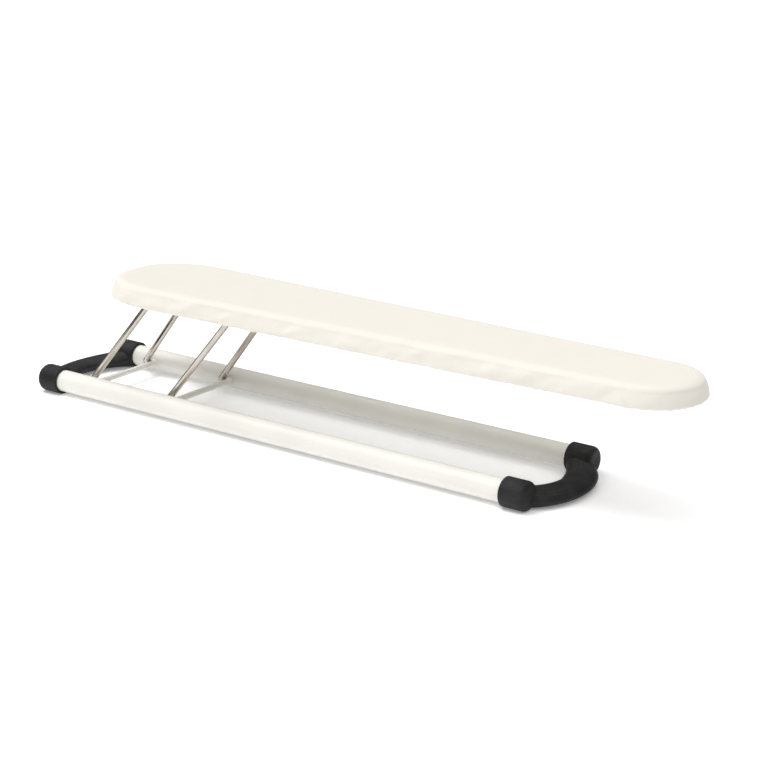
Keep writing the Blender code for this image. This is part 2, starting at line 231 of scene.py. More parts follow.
def evaluated_points(obj):
    """An object's points after its modifiers."""
    graph = bpy.context.evaluated_depsgraph_get()
    done = obj.evaluated_get(graph)
    mesh = done.to_mesh()
    points = read_points(mesh)
    done.to_mesh_clear()
    return points


def distances(line):
    """How far along a line of points each one lies."""
    return np.concatenate([[0], np.cumsum(np.linalg.norm(np.diff(line, axis=0), axis=1))])


def points_along(line, run, at):
    """Points at these distances along a line whose own points lie at the distances in run."""
    return np.stack([np.interp(at, run, values) for values in line.T], -1)


# ---------------------------------------------------------------- the board's outline
COVER_LOW, COVER_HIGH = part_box("cover")
TAIL_LENGTH = 78 * MM  # of the rounded end
NOSE_LENGTH = 44 * MM
TAIL_HALF_WIDTH = COVER_HIGH.y
NOSE_HALF_WIDTH = 47 * MM
TAIL_POWER = 2.28  # of the end's curve: 2 is an ellipse, and more is squarer
NOSE_POWER = 2.05
QUARTER_POINTS = 200
WIDEST_Z = COVER_LOW.z + 3.4 * MM
COLUMNS = 640


def outline():
    """Evenly spaced points and outward directions round the board's widest level."""
    tail_start = COVER_LOW.x + TAIL_LENGTH
    nose_start = COVER_HIGH.x - NOSE_LENGTH

    def half_width(x):
        share = (x - tail_start) / (nose_start - tail_start)
        return TAIL_HALF_WIDTH + share * (NOSE_HALF_WIDTH - TAIL_HALF_WIDTH)

    def quarter(corner, length, power):
        angle = np.radians(np.linspace(0, 90, QUARTER_POINTS))
        x = corner + length * np.cos(angle).clip(0, 1) ** (2 / power)
        return np.stack([x, half_width(x) * np.sin(angle) ** (2 / power)], -1)

    half = np.concatenate([
        quarter(nose_start, NOSE_LENGTH, NOSE_POWER),
        quarter(tail_start, -TAIL_LENGTH, TAIL_POWER)[::-1],
    ])
    loop = np.concatenate([half, (half * (1, -1))[-2:0:-1]])
    closed = np.concatenate([loop, loop[:1]])
    run = distances(closed)
    at = np.linspace(0, run[-1], COLUMNS, endpoint=False)
    points = points_along(closed, run, at)
    along = np.roll(points, -1, 0) - np.roll(points, 1, 0)
    along = (along + np.roll(along, 1, 0) + np.roll(along, -1, 0)) / 3
    along /= np.linalg.norm(along, axis=1)[:, None]
    outward = np.stack([along[:, 1], -along[:, 0]], -1)
    return points, outward, at


OUTLINE, OUTWARD, AROUND = outline()
PERIMETER = AROUND[-1] + AROUND[1]


def ring(inset, z):
    """The outline moved inwards to a level: one row of points."""
    flat = OUTLINE - OUTWARD * inset
    return np.column_stack([flat, np.full(COLUMNS, z)])


def spine_x():
    """How far along the board each column's innermost point lies."""
    return OUTLINE[:, 0].clip(COVER_LOW.x + TAIL_HALF_WIDTH, COVER_HIGH.x - NOSE_HALF_WIDTH)


def top_ring(edge, share, z):
    """A row on the flat top, this share of the way from its edge to the spine."""
    flat = edge[:, :2] * (1 - share)
    flat[:, 0] += spine_x() * share
    return np.column_stack([flat, np.full(COLUMNS, z)])


def spine():
    """The points along the middle of the top, and which of them each column ends on."""
    places, index = np.unique(np.round(spine_x(), 6), return_inverse=True)
    return places, index.reshape(-1)


# ---------------------------------------------------------------- cover
TOP_Z = COVER_HIGH.z
TOP_INSET = 13.0 * MM
SHOULDER_INSET = 4.3 * MM
SHOULDER_Z = TOP_Z - 5.4 * MM
CLOTH = 0.7 * MM
TOP_ROWS = 8  # from the spine to the top's edge
CROWN_ROWS = 6  # over the shoulder
SIDE_ROWS = 7  # from the shoulder to the widest level
ELASTIC_LOW, ELASTIC_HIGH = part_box("hem_elastic")
ELASTIC_Z = (ELASTIC_LOW.z + ELASTIC_HIGH.z) / 2
ELASTIC_INSET = COVER_HIGH.x - ELASTIC_HIGH.x + (ELASTIC_HIGH.z - ELASTIC_LOW.z) / 2
CASING_RADIUS = 2.0 * MM
SIDE_SWELL = 0.35 * MM


def side_profile(depth=0.0):
    """(inset, z) from the top's edge over the shoulder to the widest level, this deep inside the cover."""
    rows = []
    for step in range(CROWN_ROWS + 1):
        angle = math.radians(90 * step / CROWN_ROWS)
        inset = TOP_INSET - (TOP_INSET - SHOULDER_INSET - depth) * math.sin(angle)
        rows.append((inset, SHOULDER_Z + (TOP_Z - depth - SHOULDER_Z) * math.cos(angle)))
    for step in range(1, SIDE_ROWS + 1):
        share = step / SIDE_ROWS
        swell = SIDE_SWELL * math.sin(math.pi * share)
        inset = SHOULDER_INSET * (1 - share) - swell + depth
        rows.append((inset, SHOULDER_Z + (WIDEST_Z - SHOULDER_Z) * share))
    return rows


def hem_profile():
    """(inset, z) round the rim, inwards underneath, and round the elastic in its casing."""
    rim = COVER_LOW.z
    rows = [
        (0.15 * MM, WIDEST_Z - 1.2 * MM),
        (0.6 * MM, rim + 1.1 * MM),
        (1.5 * MM, rim + 0.45 * MM),
        (3.0 * MM, rim + 0.1 * MM),
        (5.3 * MM, rim + 0.1 * MM),
        (7.6 * MM, rim + 0.15 * MM),
        (9.9 * MM, rim + 0.2 * MM),
        (11.8 * MM, rim + 0.25 * MM),
        (13.4 * MM, rim + 0.3 * MM),
    ]
    for degrees in range(-90, 181, 30):
        angle = math.radians(degrees)
        inset = ELASTIC_INSET + CASING_RADIUS * math.cos(angle)
        rows.append((inset, ELASTIC_Z + CASING_RADIUS * math.sin(angle)))
    return rows


HEM_TURN_ROWS = 4  # rows of the hem profile that still lie on the outside of the rim
PINNED_ROWS = 12  # rows at the hem's inner edge that the casing holds


def cover_rows():
    """The cover's rows from the top's middle to the hem, and how far past the top's edge each one is."""
    side = side_profile()
    edge = ring(*side[0])
    rows = []
    for step in range(1, TOP_ROWS):
        rows.append(top_ring(edge, 1 - step / TOP_ROWS, TOP_Z))
    down = [0.0] * len(rows)
    run = 0.0
    before = side[0]
    for at in side + hem_profile():
        run += math.dist(before, at)
        before = at
        rows.append(ring(*at))
        down.append(run)
    return rows, np.array(down)


def flat_places(rows, down):
    """Where each point lay in the flat cloth: the top as it is, and the rest unrolled outwards."""
    flat = []
    for row, run in zip(rows, down):
        flat.append(row[:, :2] if run == 0 else rows[TOP_ROWS - 1][:, :2] + OUTWARD * run)
    return np.concatenate(flat)


def row_faces(row_count, first=0):
    """Quads between rows of points that each go once round."""
    faces = []
    for row in range(row_count - 1):
        for column in range(COLUMNS):
            after = (column + 1) % COLUMNS
            upper = first + row * COLUMNS
            lower = upper + COLUMNS
            faces.append((upper + column, lower + column, lower + after, upper + after))
    return faces


def spine_faces(index, first, flip=False):
    """Faces between the spine's points and the row round them: triangles at the spine's two ends."""
    faces = []
    for column in range(COLUMNS):
        after = (column + 1) % COLUMNS
        corners = [index[column], first + column, first + after]
        if index[after] != index[column]:
            corners.append(index[after])
        if flip:
            corners.reverse()
        faces.append(tuple(int(corner) for corner in corners))
    return faces


def normals(mesh):
    """The outward direction at each of a mesh's points."""
    flat = np.empty(len(mesh.vertices) * 3, np.float32)
    mesh.vertex_normals.foreach_get("vector", flat)
    return flat.reshape(-1, 3).astype(float)


NOISE_STEP = (7.3, 3.1, 1.7)  # how far apart the noise of two seeds is taken


def waves(points, size, seed):
    """Smooth noise with swells about this far apart."""
    shift = Vector([seed * step for step in NOISE_STEP])
    return np.array([noise.noise(Vector(p) / size + shift) for p in points])


def swells(points, height, size, seed):
    """Waves of about this height."""
    return height * waves(points, size, seed)


def smooth_step(value, low, high):
    """0 up to low, 1 from high on, and a smooth rise between."""
    share = ((value - low) / (high - low)).clip(0, 1)
    return share * share * (3 - 2 * share)


# Small tucks in the side, where the hem pulls the cloth:
# place along the board, which side, width, depth, lean.
TUCKS = [
    (293 * MM, -1, 3.4 * MM, 1.10 * MM, 0.55),
    (268 * MM, -1, 5.0 * MM, 0.55 * MM, -0.4),
    (176 * MM, -1, 7.0 * MM, 0.80 * MM, 0.7),
    (160 * MM, -1, 5.5 * MM, 0.60 * MM, 0.3),
    (98 * MM, -1, 9.0 * MM, 0.80 * MM, -0.5),
    (35 * MM, -1, 8.0 * MM, 0.60 * MM, 0.6),
    (-62 * MM, -1, 6.0 * MM, 0.45 * MM, -0.3),
    (-128 * MM, -1, 6.5 * MM, 0.50 * MM, 0.4),
    (262 * MM, 1, 4.0 * MM, 0.90 * MM, -0.5),
    (148 * MM, 1, 7.5 * MM, 0.75 * MM, 0.4),
    (41 * MM, 1, 6.0 * MM, 0.60 * MM, -0.6),
    (-84 * MM, 1, 7.0 * MM, 0.65 * MM, 0.5),
    (-205 * MM, 1, 5.0 * MM, 0.70 * MM, 0.3),
]
TUCK_MIDDLE = 20 * MM  # a tuck leans about its point this far past the top's edge
TUCK_WIDER = 0.4  # how much wider a tuck is at its faint end, up the side
GROOVE_DEPTH = 0.8  # of the ridge beside it
GROOVE_SHIFT = 1.5  # in widths of the tuck
OTHER_SIDE = 400  # any distance longer than the board, which keeps a tuck on its own side

# Distances past the top's edge over which each kind of slack grows.
TUCK_BAND = (5 * MM, 18 * MM)
PUCKER_BAND = (5 * MM, 15 * MM)
UNDER_BAND = (18 * MM, 25 * MM)
NOSE_BAND = (255 * MM, 300 * MM)  # along the board: the cloth is drawn tighter round the nose
NOSE_TIGHTER = 0.6
UNDER_TIGHTER = 0.6  # for the tucks, underneath
CASING_TIGHTER = 0.6  # for the pleats, at the elastic's casing

TOP_WAVE = (0.10 * MM, 55 * MM, 1)  # height, size, seed
WIDE_PUCKER = (2.6 * MM, 25 * MM, 2)
SMALL_PUCKER = (1.3 * MM, 12 * MM, 3)
PUCKER_LIFT = 0.35 * MM
PUCKER_LEAN = 0.8
PUCKER_FLATTER = 1.5
INWARD_START = 0.1 * MM  # about how far the cloth sinks into the pad before the pad resists
INWARD_SHARE = 0.25  # what the pad still lets through of the rest
PLEAT_DEPTH = 0.45 * MM
PLEATS = ((131, 0.5), (167, 0.4), (197, 0.35))  # how many go round the hem, and their share
PLEAT_LIFT = 1.2
PLEAT_WANDER = 2.5
PLEAT_WANDER_LENGTH = 37 * MM
CASING_START = 0.8  # of the whole way from the top's edge to the hem
LOWEST_Z = COVER_LOW.z - 0.25 * MM


def tucks(down):
    """Height of the tucks at each row and column: a ridge beside a groove, dying out up the side."""
    height = np.zeros((len(down), COLUMNS))
    grow = smooth_step(down, *TUCK_BAND)
    for x, side, width, depth, lean in TUCKS:
        near = np.hypot(OUTLINE[:, 0] - x, OTHER_SIDE * (np.sign(OUTLINE[:, 1]) - side))
        centre = AROUND[np.argmin(near)]
        for row, run in enumerate(down):
            across = AROUND - centre - lean * (run - TUCK_MIDDLE)
            at = across / (width * (1 + TUCK_WIDER - TUCK_WIDER * grow[row]))
            groove = GROOVE_DEPTH * np.exp(-(at - GROOVE_SHIFT) ** 2)
            height[row] += depth * grow[row] * (np.exp(-at ** 2) - groove)
    return height


def pleats():
    """How deep the gathers at the hem are in each column, from about 0 to 2.5."""
    gathers = np.zeros(COLUMNS)
    for step, size in PLEATS:
        wander = PLEAT_WANDER * np.sin(step + AROUND / PLEAT_WANDER_LENGTH)
        gathers += size * np.sin(math.tau * step * AROUND / PERIMETER + wander)
    return gathers + PLEAT_LIFT


def crumple(mesh, points, rows, down, first):
    """Puts slack in the cover: slow waves on the top, soft puckers down the side, gathers at the hem."""
    facing = normals(mesh)
    start = np.concatenate(rows)
    run = np.repeat(down, COLUMNS)
    reach = down[-1]
    side = smooth_step(run, *PUCKER_BAND) * (1 - NOSE_TIGHTER * smooth_step(start[:, 0], *NOSE_BAND))
    under = smooth_step(run, *UNDER_BAND)
    casing = smooth_step(run, CASING_START * reach, reach)
    leaning = start.copy()
    leaning[:, 0] += PUCKER_LEAN * run
    leaning[:, 2] *= PUCKER_FLATTER
    puckers = swells(leaning, *WIDE_PUCKER) + swells(leaning, *SMALL_PUCKER) + PUCKER_LIFT
    height = swells(start, *TOP_WAVE)
    height += side * (1 - under) * np.maximum(puckers, INWARD_SHARE * puckers - INWARD_START)
    height += (1 - UNDER_TIGHTER * under) * tucks(down).reshape(-1)
    height -= under * (1 - CASING_TIGHTER * casing) * PLEAT_DEPTH * np.tile(pleats(), len(down))
    moved = points.copy()
    moved[:first] += facing[:first] * swells(points[:first], *TOP_WAVE)[:, None]
    moved[first:] += facing[first:] * height[:, None]
    moved[:, 2] = np.maximum(moved[:, 2], LOWEST_Z)
    return moved


SIM_SCALE = 10.0  # the cloth solver is steadier on a larger sheet
SIM_FRAMES = 20
SIM_CAP = 2.0 * MM  # no point settles further than this
CORE_DEPTH = 0.35 * MM  # how far inside the cover the body that it lies on is
CORE_FOOT = (3 * MM, WIDEST_Z - 1.5 * MM)  # (inset, z) of that body's lower edge
CORE_SKIN = 0.001  # in the solver's enlarged metres
CORE_FRICTION = 12
GRIP_BAND = (3 * MM, 13 * MM)  # past the top's edge: from held in place to free to settle
SLACK_BAND = (4 * MM, 20 * MM)  # past the top's edge: from drawn tight to slack
EDGE_HOLD = 0.5  # how firmly the top's edge is pinned: 1 is fully
TINY = 1e-9


def make_core():
    """The padded plate as one closed body for the cover to lie on."""
    rows = [ring(*at) for at in side_profile(CORE_DEPTH)]
    rows.append(ring(*CORE_FOOT))
    faces = row_faces(len(rows))
    faces.append(tuple(range(COLUMNS)))
    faces.append(tuple(reversed(range((len(rows) - 1) * COLUMNS, len(rows) * COLUMNS))))
    core = add_mesh_object("core", np.concatenate(rows) * SIM_SCALE, faces)
    core.modifiers.new("collision", "COLLISION")
    core.collision.thickness_outer = CORE_SKIN
    core.collision.cloth_friction = CORE_FRICTION
    return core


def settle(sheet, pins, slack, free):
    """Draws the cover tight over the pad and lets its slack sides settle, then keeps that shape."""
    start = read_points(sheet.data)
    write_points(sheet.data, start * SIM_SCALE)
    core = make_core()
    pin_group = sheet.vertex_groups.new(name="pin")
    slack_group = sheet.vertex_groups.new(name="slack")
    for vertex in range(len(start)):
        pin_group.add([vertex], float(pins[vertex]), "REPLACE")
        slack_group.add([vertex], float(slack[vertex]), "REPLACE")
    modifier = sheet.modifiers.new("cloth", "CLOTH")
    cloth = modifier.settings
    cloth.quality = 5
    cloth.mass = 0.25
    cloth.tension_stiffness = 30
    cloth.compression_stiffness = 30
    cloth.shear_stiffness = 12
    cloth.bending_stiffness = 0.6
    cloth.air_damping = 4
    cloth.effector_weights.gravity = 0
    cloth.vertex_group_mass = "pin"
    cloth.vertex_group_shrink = "slack"
    cloth.shrink_min = 0.004  # the top is cut a little short
    cloth.shrink_max = -0.03  # the slack side a little long
    cloth.use_pressure = True
    cloth.uniform_pressure_force = -1.0
    modifier.collision_settings.distance_min = CORE_SKIN
    modifier.collision_settings.collision_quality = 2
    modifier.point_cache.frame_start = 1
    modifier.point_cache.frame_end = SIM_FRAMES
    for step in range(1, SIM_FRAMES + 1):
        bpy.context.scene.frame_set(step)
    settled = evaluated_points(sheet) / SIM_SCALE
    sheet.modifiers.clear()
    sheet.vertex_groups.clear()
    bpy.context.scene.frame_set(1)
    bpy.data.objects.remove(core, do_unlink=True)
    move = settled - start
    length = np.linalg.norm(move, axis=1)
    share = free * np.minimum(1.0, SIM_CAP / np.maximum(length, TINY))
    return start + move * share[:, None]


def add_flat_uv(mesh, flat):
    """A UV map in metres: each corner's place in the flat cloth."""
    layer = mesh.uv_layers.new(name="flat")
    corners = np.empty(len(mesh.loops), np.int32)
    mesh.loops.foreach_get("vertex_index", corners)
    layer.data.foreach_set("uv", flat[corners].astype(np.float32).reshape(-1))


def make_cover():
    """The cotton cover, and where each of its points lay in the flat cloth."""
    places, index = spine()
    rows, down = cover_rows()
    first = len(places)
    middle = np.column_stack([places, np.zeros(first), np.full(first, TOP_Z)])
    points = np.concatenate([middle, *rows])
    faces = spine_faces(index, first) + row_faces(len(rows), first)
    cover = add_mesh_object("cover_cloth", points, faces)
    held = np.ones(len(down))
    held[TOP_ROWS - 1:-PINNED_ROWS] = 0
    held[TOP_ROWS - 1] = EDGE_HOLD
    slack = smooth_step(down, *SLACK_BAND)
    free = smooth_step(down, *GRIP_BAND)

    def spread(values, middle_value):
        return np.concatenate([np.full(first, middle_value), np.repeat(values, COLUMNS)])

    points = settle(cover, spread(held, 1.0), spread(slack, 0.0), spread(free, 0.0))
    write_points(cover.data, points)
    write_points(cover.data, crumple(cover.data, points, rows, down, first))
    flat = np.concatenate([middle[:, :2], flat_places(rows, down)])
    add_flat_uv(cover.data, flat)
    cover.data.shade_smooth()
    smooth = cover.modifiers.new("smooth", "SUBSURF")
    smooth.levels = smooth.render_levels = 1
    thick = cover.modifiers.new("thick", "SOLIDIFY")
    thick.thickness = CLOTH
    thick.offset = -1
    cover.data.materials.append(cotton())
    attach(cover, "board")
    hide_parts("cover")
    return cover, flat


# ---------------------------------------------------------------- hem stitching
STITCH_PITCH = 3.2 * MM
STITCH_LENGTH = 2.3 * MM
THREAD_RADIUS = 0.22 * MM
STITCH_SIDES = 6
STITCH_STEPS = 5
STITCH_PROUD = 0.9  # how far a stitch's middle stands out below the hem, in radii of the thread
STITCH_BOW = 1.6  # how far its ends rise from there, into the cloth
STITCH_TAPER = 0.45  # how much thinner it is at its ends
HEM_STITCH_ROW = HEM_TURN_ROWS + 4  # row of the hem profile that the stitching runs along


def make_stitches(cover):
    """A row of lockstitches that closes the elastic's casing, lying on the hem's underside."""
    points = read_points(cover.data)
    rows_after = len(hem_profile()) - HEM_STITCH_ROW
    line = points[len(points) - rows_after * COLUMNS:][:COLUMNS]
    closed = np.concatenate([line, line[:1]])
    run = distances(closed)
    count = int(run[-1] / STITCH_PITCH)
    verts, faces = [], []
    for stitch in range(count):
        middle = (stitch + 0.5) * run[-1] / count
        spread = np.linspace(-0.5, 0.5, STITCH_STEPS)
        at = (middle + spread * STITCH_LENGTH).clip(0, run[-1])
        path = points_along(closed, run, at)
        path[:, 2] += THREAD_RADIUS * (4 * spread ** 2 * STITCH_BOW - STITCH_PROUD)
        along = Vector(path[-1] - path[0]).normalized()
        across = along.cross(Vector((0, 0, 1))).normalized()
        up = across.cross(along)
        base = len(verts)
        for step, place in enumerate(path):
            radius = THREAD_RADIUS * (1 - STITCH_TAPER * abs(2 * spread[step]) ** 3)
            for side in range(STITCH_SIDES):
                angle = math.tau * side / STITCH_SIDES
                way = across * math.cos(angle) + up * math.sin(angle)
                verts.append(Vector(place) + way * radius)
        for step in range(STITCH_STEPS - 1):
            for side in range(STITCH_SIDES):
                after = (side + 1) % STITCH_SIDES
                low = base + step * STITCH_SIDES
                high = low + STITCH_SIDES
                faces.append((low + side, low + after, high + after, high + side))
        faces.append(tuple(base + side for side in reversed(range(STITCH_SIDES))))
        end = base + (STITCH_STEPS - 1) * STITCH_SIDES
        faces.append(tuple(end + side for side in range(STITCH_SIDES)))
    stitches = add_mesh_object("hem_stitches", verts, faces)
    stitches.data.shade_smooth()
    stitches.data.materials.append(thread())
    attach(stitches, "board")
    return stitches


# ---------------------------------------------------------------- foam pad
PAD_ROUND = 0.3 * MM
PAD_FOOT = 0.6 * MM
PAD_SWELL = 0.14 * MM
PAD_SWELL_START = 1 * MM
PAD_SWELL_SIZE = 24 * MM
PAD_SEED = 5


def make_pad():
    """The foam between plate and cover: flat below, crowned above, with softly rounded edges."""
    low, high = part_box("foam_pad")
    depth = TOP_Z - high.z
    side = [at for at in side_profile(depth) if at[1] > low.z]
    places, index = spine()
    first = len(places)
    edge = ring(*side[0])
    rows = [top_ring(edge, 1 - step / TOP_ROWS, high.z) for step in range(1, TOP_ROWS)]
    rows += [ring(*at) for at in side]
    foot = side[-1][0] + PAD_ROUND
    rows.append(ring(foot, low.z + PAD_ROUND))
    sole = ring(foot + PAD_FOOT, low.z)
    rows.append(sole)
    rows += [top_ring(sole, step / TOP_ROWS, low.z) for step in range(1, TOP_ROWS)]
    middle = np.column_stack([places, np.zeros(first), np.full(first, high.z)])
    under = middle.copy()
    under[:, 2] = low.z
    points = np.concatenate([middle, *rows, under])
    faces = spine_faces(index, first) + row_faces(len(rows), first)
    last_row = first + (len(rows) - 1) * COLUMNS
    faces += spine_faces(index + first + len(rows) * COLUMNS, last_row, flip=True)
    pad = add_mesh_object("foam_cushion", points, faces)
    height = smooth_step(points[:, 2], low.z + PAD_SWELL_START, high.z)
    points[:, 2] += height * swells(points, PAD_SWELL, PAD_SWELL_SIZE, PAD_SEED)
    write_points(pad.data, points)
    pad.data.shade_smooth()
    pad.data.materials.append(foam())
    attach(pad, "board")
    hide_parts("foam_pad")


# ---------------------------------------------------------------- materials
# A mix node has its sockets once for each kind of value. These are the numbers of those for colours.
MIX_SHARE, MIX_FIRST, MIX_SECOND = 0, 6, 7
MIX_RESULT = 2


class Paint:
    """A Principled material, with short ways to add nodes to it. Sizes are in metres on the object."""

    def __init__(self, name, metallic=0.0, **constants):
        self.material = bpy.data.materials.new(name)
        self.material.use_nodes = True
        self.tree = self.material.node_tree
        self.shader = self.tree.nodes["Principled BSDF"]
        self.shader.inputs["Metallic"].default_value = metallic
        for socket, value in constants.items():
            self.shader.inputs[socket.replace("_", " ")].default_value = value
        self.place = self.node("ShaderNodeTexCoord").outputs["Object"]

    def node(self, kind, inputs=None, **settings):
        """A new node: each input is linked if it is given a socket, and set if it is given a value."""
        made = self.tree.nodes.new(kind)
        for name, value in settings.items():
            setattr(made, name, value)
        for socket, value in (inputs or {}).items():
            if isinstance(value, bpy.types.NodeSocket):
                self.tree.links.new(value, made.inputs[socket])
            else:
                made.inputs[socket].default_value = value
        return made

    def turned(self, rotation):
        """Coordinates turned by these angles."""
        return self.node("ShaderNodeMapping", {"Vector": self.place, "Rotation": rotation}).outputs[0]

    def stretched(self, sizes, place=None):
        """Coordinates in which the pattern repeats about every sizes metres along X, Y and Z."""
        scale = [1 / size for size in sizes]
        return self.node("ShaderNodeMapping", {"Vector": place or self.place, "Scale": scale}).outputs[0]

    def noise(self, size, detail=2.0, rough=0.5, place=None):
        """Smooth noise from 0 to 1 with patches of about this size."""
        inputs = {"Vector": place or self.place, "Scale": 1 / size, "Detail": detail, "Roughness": rough}
        return self.node("ShaderNodeTexNoise", inputs).outputs["Fac"]

    def cells(self, size, output="Distance"):
        """Cells of about this size: the distance from each one's middle, or a colour for each."""
        inputs = {"Vector": self.place, "Scale": 1 / size}
        return self.node("ShaderNodeTexVoronoi", inputs).outputs[output]

    def remap(self, value, low, high, to_low=0.0, to_high=1.0):
        """The value's stretch from low to high, spread from to_low to to_high."""
        inputs = {"Value": value, "From Min": low, "From Max": high, "To Min": to_low, "To Max": to_high}
        return self.node("ShaderNodeMapRange", inputs).outputs[0]

    def math(self, operation, first, second=0.0):
        return self.node("ShaderNodeMath", {0: first, 1: second}, operation=operation).outputs[0]

    def vectors(self, operation, inputs):
        return self.node("ShaderNodeVectorMath", inputs, operation=operation).outputs[0]

    def blend(self, share, first, second):
        """The first colour, giving way to the second by this share."""
        inputs = {MIX_SHARE: share, MIX_FIRST: first, MIX_SECOND: second}
        return self.node("ShaderNodeMix", inputs, data_type="RGBA").outputs[MIX_RESULT]

    def bump(self, height, depth, strength=1.0, normal=None):
        inputs = {"Height": height, "Distance": depth, "Strength": strength}
        if normal:
            inputs["Normal"] = normal
        return self.node("ShaderNodeBump", inputs).outputs[0]

    def finish(self, colour, roughness, normal):
        for socket, value in (("Base Color", colour), ("Roughness", roughness), ("Normal", normal)):
            self.tree.links.new(value, self.shader.inputs[socket])
        return self.material


IVORY_DARK = (0.76, 0.745, 0.69, 1)
IVORY_LIGHT = (0.805, 0.79, 0.735, 1)
IVORY_SPECK = (0.62, 0.59, 0.52, 1)
IVORY_RUB = (0.60, 0.57, 0.50, 1)


def enamel():
    """Ivory powder coating: satin, faintly clouded, with orange peel and a few rubbed lines."""
    paint = Paint("ivory_enamel", Coat_Weight=0.15, Coat_Roughness=0.3)
    clouds = paint.remap(paint.noise(70 * MM, 3), 0.35, 0.65)
    colour = paint.blend(clouds, IVORY_DARK, IVORY_LIGHT)
    specks = paint.remap(paint.noise(1.3 * MM, 1), 0.70, 0.78)
    colour = paint.blend(paint.math("MULTIPLY", specks, 0.25), colour, IVORY_SPECK)
    rubs = paint.remap(paint.noise(1, 4, 0.6, paint.stretched((45 * MM, 1.1 * MM, 1.1 * MM))), 0.66, 0.74)
    colour = paint.blend(paint.math("MULTIPLY", rubs, 0.12), colour, IVORY_RUB)
    roughness = paint.remap(paint.noise(16 * MM, 3), 0.3, 0.7, 0.40, 0.52)
    roughness = paint.math("ADD", roughness, paint.math("MULTIPLY", rubs, 0.12))
    peel = paint.bump(paint.noise(1.6 * MM, 2), 0.05 * MM, 0.35)
    return paint.finish(colour, roughness, paint.bump(rubs, 0.02 * MM, -0.3, peel))


BLACK_DEEP = (0.013, 0.013, 0.0135, 1)
BLACK_FADED = (0.023, 0.023, 0.024, 1)
# Light grey for the tops: real dust, and also a painted sheen.
DUST_AND_SHEEN = (0.16, 0.155, 0.15, 1)


def rubber():
    """Black moulded end pieces: a fine spark-eroded grain, lighter and duller on top with dust and a
    painted sheen.
    """
    paint = Paint("black_moulding", Specular_IOR_Level=0.2)
    clouds = paint.remap(paint.noise(22 * MM, 4, 0.6), 0.35, 0.7)
    colour = paint.blend(clouds, BLACK_DEEP, BLACK_FADED)
    # Painted sheen and dust: the colour is lighter, in patches, where the surface faces upward.
    facing = paint.node("ShaderNodeNewGeometry").outputs["Normal"]
    upward = paint.node("ShaderNodeSeparateXYZ", {0: facing}).outputs["Z"]
    settled = paint.remap(upward, 0.5, 1.0)
    dust_and_sheen = paint.math("MULTIPLY", settled, paint.remap(paint.noise(5 * MM, 3), 0.45, 0.7))
    dust_and_sheen_share = paint.math("MULTIPLY", dust_and_sheen, 0.10)
    colour = paint.blend(dust_and_sheen_share, colour, DUST_AND_SHEEN)
    roughness = paint.remap(paint.noise(9 * MM, 3), 0.3, 0.7, 0.50, 0.64)
    roughness = paint.math("ADD", roughness, dust_and_sheen_share)
    grain = paint.bump(paint.cells(0.7 * MM), 0.06 * MM, 0.35)
    return paint.finish(colour, roughness, paint.bump(paint.noise(2.5 * MM, 3), 0.04 * MM, 0.25, grain))


def leg_lean():
    """The legs' lean from upright, from their lower and upper pivots."""
    at = {joint["name"]: Vector(joint["pos_m"]) for joint in frame["joints"]}
    leg = at["board_level"] - at["fold"]
    return math.atan2(leg.x, leg.z)


WIRE_GLANCE = (0.5, 0.47, 0.43, 1)  # tint of what the plating mirrors at a glancing angle
WIRE_DARK = (0.46, 0.42, 0.37, 1)
WIRE_LIGHT = (0.58, 0.545, 0.49, 1)
WIRE_DULL = (0.43, 0.385, 0.33, 1)


def wire():
    """Plated wire, drawn lengthwise: fine lines along each leg, slightly dulled in patches."""
    paint = Paint("bright_wire", metallic=1.0, Specular_Tint=WIRE_GLANCE)
    along = paint.turned((0, -leg_lean(), 0))
    drawn = paint.noise(1, 3, 0.6, paint.stretched((0.5 * MM, 0.5 * MM, 60 * MM), along))
    patches = paint.remap(paint.noise(14 * MM, 3), 0.4, 0.7)
    colour = paint.blend(paint.remap(drawn, 0.35, 0.65), WIRE_DARK, WIRE_LIGHT)
    colour = paint.blend(paint.math("MULTIPLY", patches, 0.35), colour, WIRE_DULL)
    roughness = paint.remap(drawn, 0.3, 0.7, 0.09, 0.17)
    roughness = paint.math("ADD", roughness, paint.math("MULTIPLY", patches, 0.08))
    return paint.finish(colour, roughness, paint.bump(drawn, 0.02 * MM, 0.4))


ZINC_DARK = (0.46, 0.47, 0.48, 1)
ZINC_LIGHT = (0.62, 0.63, 0.645, 1)
ZINC_STAIN = (0.40, 0.39, 0.37, 1)


def zinc():
    """Zinc-plated pressed steel: large dull crystals and rolling lines."""
    paint = Paint("zinc_plate", metallic=1.0)
    crystals = paint.node("ShaderNodeSeparateColor", {0: paint.cells(7 * MM, "Color")}).outputs["Red"]
    rolled = paint.noise(1, 3, 0.6, paint.stretched((80 * MM, 0.8 * MM, 0.8 * MM)))
    colour = paint.blend(paint.remap(crystals, 0, 1), ZINC_DARK, ZINC_LIGHT)
    stain = paint.remap(paint.noise(30 * MM, 4), 0.5, 0.75)
    colour = paint.blend(paint.math("MULTIPLY", stain, 0.4), colour, ZINC_STAIN)
    roughness = paint.remap(crystals, 0, 1, 0.34, 0.46)
    roughness = paint.math("ADD", roughness, paint.remap(rolled, 0.4, 0.7, 0, 0.08))
    return paint.finish(colour, roughness, paint.bump(rolled, 0.02 * MM, 0.5))


RIVET_DARK = (0.48, 0.48, 0.485, 1)
RIVET_LIGHT = (0.64, 0.64, 0.645, 1)


def rivet():
    """Bright rivet heads, finely pitted by the setting tool."""
    paint = Paint("rivet_steel", metallic=1.0)
    pits = paint.noise(0.6 * MM, 3)
    colour = paint.blend(paint.remap(pits, 0.35, 0.65), RIVET_DARK, RIVET_LIGHT)
    roughness = paint.remap(paint.noise(1.8 * MM, 3), 0.3, 0.7, 0.26, 0.42)
    return paint.finish(colour, roughness, paint.bump(pits, 0.05 * MM, 0.4))


FOAM_DARK = (0.78, 0.74, 0.62, 1)
FOAM_LIGHT = (0.84, 0.80, 0.69, 1)
FOAM_PORE = (0.55, 0.50, 0.40, 1)


